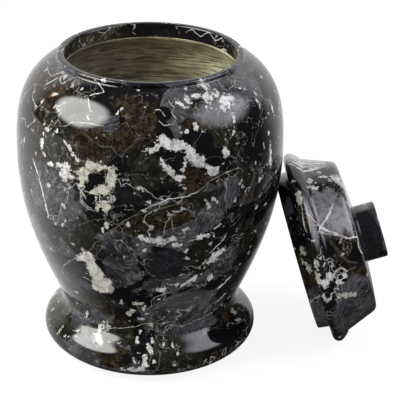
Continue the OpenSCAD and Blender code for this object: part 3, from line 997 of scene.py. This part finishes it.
# The lid's marble, in the same form. Angles run round the lid's own axis. 0 faces the front, and minus is
# towards the top as it leans. Heights are from the spigot's face.
lidStone = {
    "zones": [
        ("slate", (-92, 30), (18, 18), 0, 1.0),
        ("slate", (-80, 32), (6, 14), 0, 1.2),
        ("black", (-71, 30), (8, 9), 0, 1.4),
        ("olive", (-69, 38), (6, 5), 0, 1.4),
        ("black", (-72, 46), (9, 5), 0, 1.4),
        ("slate", (-50, 33), (20, 14), 0, 1.2),
        ("slate", (-40, 19), (30, 3), 0, 1.0),
        ("black", (-25, 25), (10, 7), 20, 0.8),
        ("olive", (-17, 33), (10, 6), 30, 1.0),
        ("black", (-13, 42), (10, 6), 0, 1.0),
        ("olive", (-22, 16), (12, 4), 0, 1.4),
        ("black", (-5, 27), (9, 8), 0, 1.0),
        ("slate", (26, 32), (32, 22), 0, 0.8),
        ("slate", (30, 8), (34, 10), 0, 0.8),
        ("black", (-60, 5), (30, 5), 0, 1.6),
        ("olive", (-18, 5), (12, 4), 0, 1.4),
        ("slateBlue", (-20, 55), (60, 9), 0, 0.8),
        ("slate", (-80, 57), (12, 6), 0, 1.4),
        ("plain", (30, 30), (26, 26), 0, 0.6),
        ("plain", (34, 6), (24, 10), 0, 0.6),
        ("plain", (-48, 33), (19, 12), 0, 0.6),
        ("plain", (-25, 25), (9, 6), 20, 0.6),
        ("plain", (-13, 42), (9, 5), 0, 0.6),
        ("plain", (-98, 31), (16, 14), 0, 0.6),
        ("plain", (-20, 56), (60, 9), 0, 0.8),
    ],
    "patches": [
        ("white", (-99, 24), (15, 17), 0, 0.35),
        ("paleSlate", (-53, 26.5), (12, 5), 0, 0.5),
        ("paleSlate", (-47, 36), (19, 7.5), 0, 0.5),
        ("paleSlate", (-43, 43), (17, 4), 0, 0.5),
        ("white", (-76, 43.5), (3.2, 3.2), 20, 1.4),
        ("white", (-70.5, 46), (3.0, 3.6), -30, 1.4),
        ("white", (-73, 24), (2.2, 1.6), 0, 1.4),
        ("white", (-66.5, 25.5), (2.0, 3.2), 0, 1.2),
        ("white", (-76.5, 34.5), (1.4, 2.8), 10, 1.2),
        ("white", (-71, 28), (1.2, 1.2), 0, 1.2),
        ("cream", (-57.5, 14.5), (5.2, 2.6), -16, 0.4),
        ("white", (-7.5, 19.5), (2.6, 3.0), -40, 0.9),
        ("white", (-5, 15.5), (3.0, 2.2), -40, 0.9),
        ("cream", (-9, 11), (4.2, 1.5), 0, 1.2),
        ("cream", (-16, 13), (3.6, 1.0), 0, 1.4),
        ("white", (-2.5, 30.5), (2.0, 1.6), 20, 1.4),
        ("white", (0, 25), (1.4, 2.6), -30, 1.4),
        ("cream", (11.5, 27.5), (7.2, 2.1), 63, 0.8),
        ("cream", (3.5, 12.5), (2.8, 1.5), 0, 1.0),
        ("white", (6, 14.5), (0.8, 3.2), 30, 1.0),
        ("cream", (-26, 6.5), (2.6, 1.2), 0, 1.6),
        ("cream", (-19, 4.5), (1.8, 1.2), 20, 1.6),
        ("cream", (-13, 7), (2.6, 1.4), 0, 1.6),
        ("paleSlate", (-86, 58), (7, 4), 0, 1.0),
    ],
    "holes": [],
    "veins": [
        ("black", [(-90, 11), (-86, 18), (-85.5, 22), (-89, 28), (-93, 38)], 1.1, 1.2, 1.0),
        ("black", [(-94, 11), (-91, 18), (-90, 24), (-94, 30), (-95, 40)], 1.0, 1.4, 0.9),
        ("black", [(-99, 11), (-96, 18), (-94.5, 25), (-99, 32), (-98, 44)], 1.0, 1.4, 0.9),
        ("black", [(-104, 11), (-101, 18), (-99.5, 24), (-103, 32), (-102, 44)], 0.9, 1.4, 0.9),
        ("white", [(-88, 12), (-83.5, 18), (-82, 22), (-85, 28), (-88, 34)], 1.5, 1.0, 0.95),
        ("white", [(-37.5, 24), (-46, 16.5)], 0.6, 0.6, 0.8),
        ("white", [(-37.5, 24), (-42.5, 29.5), (-50, 35)], 1.0, 0.8, 0.85),
        ("white", [(-48.5, 32), (-50, 35), (-53, 36.5)], 0.6, 0.8, 0.7),
        ("white", [(-37.5, 24), (-34.5, 21)], 0.8, 0.5, 0.8),
        ("white", [(-37.5, 24), (-33, 30), (-28.5, 36), (-24.5, 33.5)], 1.1, 0.9, 0.85),
        ("white", [(-34.5, 24.5), (-31, 30.5), (-28.5, 36)], 0.7, 0.8, 0.7),
        ("white", [(-28.5, 36), (-26, 39), (-26.5, 43), (-25, 46.5)], 0.9, 0.8, 0.85),
        ("white", [(-46, 47.5), (-36, 47.5), (-28, 47), (-25, 46.5)], 0.7, 0.8, 0.7),
        ("white", [(-25, 46.5), (-19.5, 45.5), (-13, 46.5), (-7.5, 47.5)], 0.8, 0.8, 0.85),
        ("white", [(-25, 46.5), (-18, 47.5), (-7.5, 48)], 0.6, 0.8, 0.7),
        ("oliveVein", [(-27, 28), (-19, 31), (-12, 35), (-8, 41)], 1.6, 1.4, 0.35),
        ("cream", [(-53, 13.5), (-44, 13), (-36, 12.5)], 0.5, 0.5, 0.7),
        ("cream", [(-4, 20), (-8.5, 24), (-9, 29), (-5, 33)], 1.0, 0.8, 0.8),
        ("white", [(-1, 22), (-5, 25), (-5, 29)], 0.5, 0.6, 0.8),
        ("white", [(2, 23), (-1, 27), (-2, 31)], 0.5, 0.6, 0.7),
        ("cream", [(-54, 17), (-44, 16.5), (-35, 15.5)], 0.5, 0.4, 0.6),
        ("slateLight", [(8, 20), (26, 19), (52, 18)], 0.8, 0.6, 0.8),
    ],
    "unrollRadius": 0.065,
}


def makeLid(sizes):
    points = lidOutline(sizes)
    slots = [0] * len(points)
    piece = revolve("lidTurning", points, sizes["segments"], lidStone["unrollRadius"], slots)
    piece.data.materials.append(polishedMarble("polishedMarbleLid", lidStone, points))
    tilt = math.radians(90 - sizes["lean"])
    heading = math.radians(sizes["side"] + sizes["twist"])
    turn = Euler((0, tilt, heading)).to_matrix()
    corners = [turn @ v.co for v in piece.data.vertices]
    low = Vector([min(c[i] for c in corners) for i in range(3)])
    high = Vector([max(c[i] for c in corners) for i in range(3)])
    cad = [Vector(c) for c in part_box("lid")]
    piece.data.transform(Matrix.Translation((cad[0] + cad[1] - low - high) / 2) @ turn.to_4x4())
    print("lid's box differs by", [round(v * 1000, 3) for v in (high - low) - (cad[1] - cad[0])], "mm")
    return piece


lidTurning = makeLid(lid)
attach(lidTurning, "root")
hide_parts("lid")
print("lid made,", len(lidTurning.data.polygons), "faces")

# studio

studio = {
    "target": (0.0, 0.0, 0.15),
    "boxes": [
        # name, direction from the front towards +X, height angle, distance, width, height, radiance, tint,
        # and how far in from the edge the light starts to fade
        ("leftBox", -74, 38, 1.15, 1.16, 0.98, 10.5, (1.0, 1.0, 0.97), 0.30),
        ("rightBox", 79, 38, 1.15, 1.42, 1.10, 4.4, (0.97, 0.94, 1.04), 0.60),
    ],
    "floorSize": 12.0,
    "floorWhite": 0.97,
    "floorShadow": 0.16,     # the part of the floor's white that is left to the lights, for a faint shadow
    "floorBackLeft": 1.0,    # what the polish sees of the floor behind it on the left,
    "floorBackRight": 0.8,   # on the right
    "floorFront": 0.04,      # and in front
    "wallBack": 1.0,         # and of the walls behind and in front
    "wallFront": 0.035,
    "floorFill": 0.95,       # what lights the stone without showing in its polish
    "wallFill": 0.55,
}


def makeSoftbox(name, azimuth, elevation, distance, width, height, radiance, tint, fade):
    a, e = math.radians(azimuth), math.radians(elevation)
    out = Vector((math.sin(a) * math.cos(e), -math.cos(a) * math.cos(e), math.sin(e)))
    data = bpy.data.lights.new(name, "AREA")
    data.shape = "RECTANGLE"
    data.size = width
    data.size_y = height
    data.energy = radiance * math.pi * width * height
    data.color = tint
    data.use_nodes = True
    tree = data.node_tree
    across = addNode(tree, "NewGeometry").outputs["Parametric"]
    across = vectorMaths(tree, "SUBTRACT", across, (0.5, 0.5, 0))
    away = vectorMaths(tree, "LENGTH", vectorMaths(tree, "MULTIPLY", across, (2, 2, 0)))
    feed(tree, tree.nodes["Emission"].inputs["Strength"], ramp(tree, away, 1 - fade, 1.0, 1.0, 0.0))
    light = bpy.data.objects.new(name, data)
    light.location = Vector(studio["target"]) + out * distance
    light.rotation_euler = out.to_track_quat("Z", "Y").to_euler()
    bpy.context.scene.collection.objects.link(light)


for box in studio["boxes"]:
    makeSoftbox(*box)


def makeFloor(setting):
    half = setting["floorSize"] / 2
    mesh = bpy.data.meshes.new("studioFloor")
    corners = [(-half, -half, 0), (half, -half, 0), (half, half, 0), (-half, half, 0)]
    mesh.from_pydata(corners, [], [(0, 1, 2, 3)])
    floor = bpy.data.objects.new("studioFloor", mesh)
    bpy.context.scene.collection.objects.link(floor)
    material = bpy.data.materials.new("paleFloor")
    material.use_nodes = True
    tree = material.node_tree
    tree.nodes.remove(tree.nodes["Principled BSDF"])
    place = addNode(tree, "SeparateXYZ")
    feed(tree, place.inputs[0], addNode(tree, "TexCoord").outputs["Object"])
    beside = maths(tree, "ADD", maths(tree, "ABSOLUTE", place.outputs[0]), 0.05)
    onRight = ramp(tree, place.outputs[0], -0.15, 0.15)
    slope = maths(tree, "DIVIDE", place.outputs[1], beside)
    backStart = ramp(tree, onRight, 0.0, 1.0, -0.9, 0.1)
    backEnd = ramp(tree, onRight, 0.0, 1.0, 0.3, 0.9)
    behind = ramp(tree, slope, backStart, backEnd)
    side = ramp(tree, onRight, 0.0, 1.0, setting["floorBackLeft"], setting["floorBackRight"])
    glow = maths(tree, "ADD", setting["floorFront"], maths(tree, "MULTIPLY", behind, side))
    seen = addNode(tree, "Emission")
    seen.inputs["Strength"].default_value = setting["floorWhite"] - setting["floorShadow"] / 2
    matte = addNode(tree, "BsdfDiffuse")
    matte.inputs["Color"].default_value = (setting["floorShadow"],) * 3 + (1,)
    shown = addNode(tree, "AddShader")
    feed(tree, shown.inputs[0], seen.outputs[0])
    feed(tree, shown.inputs[1], matte.outputs[0])
    path = addNode(tree, "LightPath")
    glow = ramp(tree, path.outputs["Is Diffuse Ray"], 0.0, 1.0, glow, setting["floorFill"])
    reflected = addNode(tree, "Emission")
    feed(tree, reflected.inputs["Strength"], glow)
    pick = addNode(tree, "MixShader")
    feed(tree, pick.inputs[0], path.outputs["Is Camera Ray"])
    feed(tree, pick.inputs[1], reflected.outputs[0])
    feed(tree, pick.inputs[2], shown.outputs[0])
    feed(tree, tree.nodes["Material Output"].inputs[0], pick.outputs[0])
    mesh.materials.append(material)


def makeSurroundings(setting):
    world = bpy.data.worlds.new("studioSurroundings")
    world.use_nodes = True
    tree = world.node_tree
    background = tree.nodes["Background"]
    direction = addNode(tree, "SeparateXYZ")
    feed(tree, direction.inputs[0], addNode(tree, "TexCoord").outputs["Generated"])
    behind = ramp(tree, direction.outputs[1], 0.42, 0.60, setting["wallFront"], setting["wallBack"])
    path = addNode(tree, "LightPath")
    glow = ramp(tree, path.outputs["Is Diffuse Ray"], 0.0, 1.0, behind, setting["wallFill"])
    shown = addNode(tree, "Background")
    feed(tree, background.inputs["Strength"], glow)
    background.inputs["Color"].default_value = (1, 1, 1, 1)
    shown.inputs["Color"].default_value = (1, 1, 1, 1)
    pick = addNode(tree, "MixShader")
    feed(tree, pick.inputs[0], path.outputs["Is Camera Ray"])
    feed(tree, pick.inputs[1], background.outputs[0])
    feed(tree, pick.inputs[2], shown.outputs[0])
    feed(tree, tree.nodes["World Output"].inputs[0], pick.outputs[0])
    bpy.context.scene.world = world


makeFloor(studio)
makeSurroundings(studio)
print("studio lit")
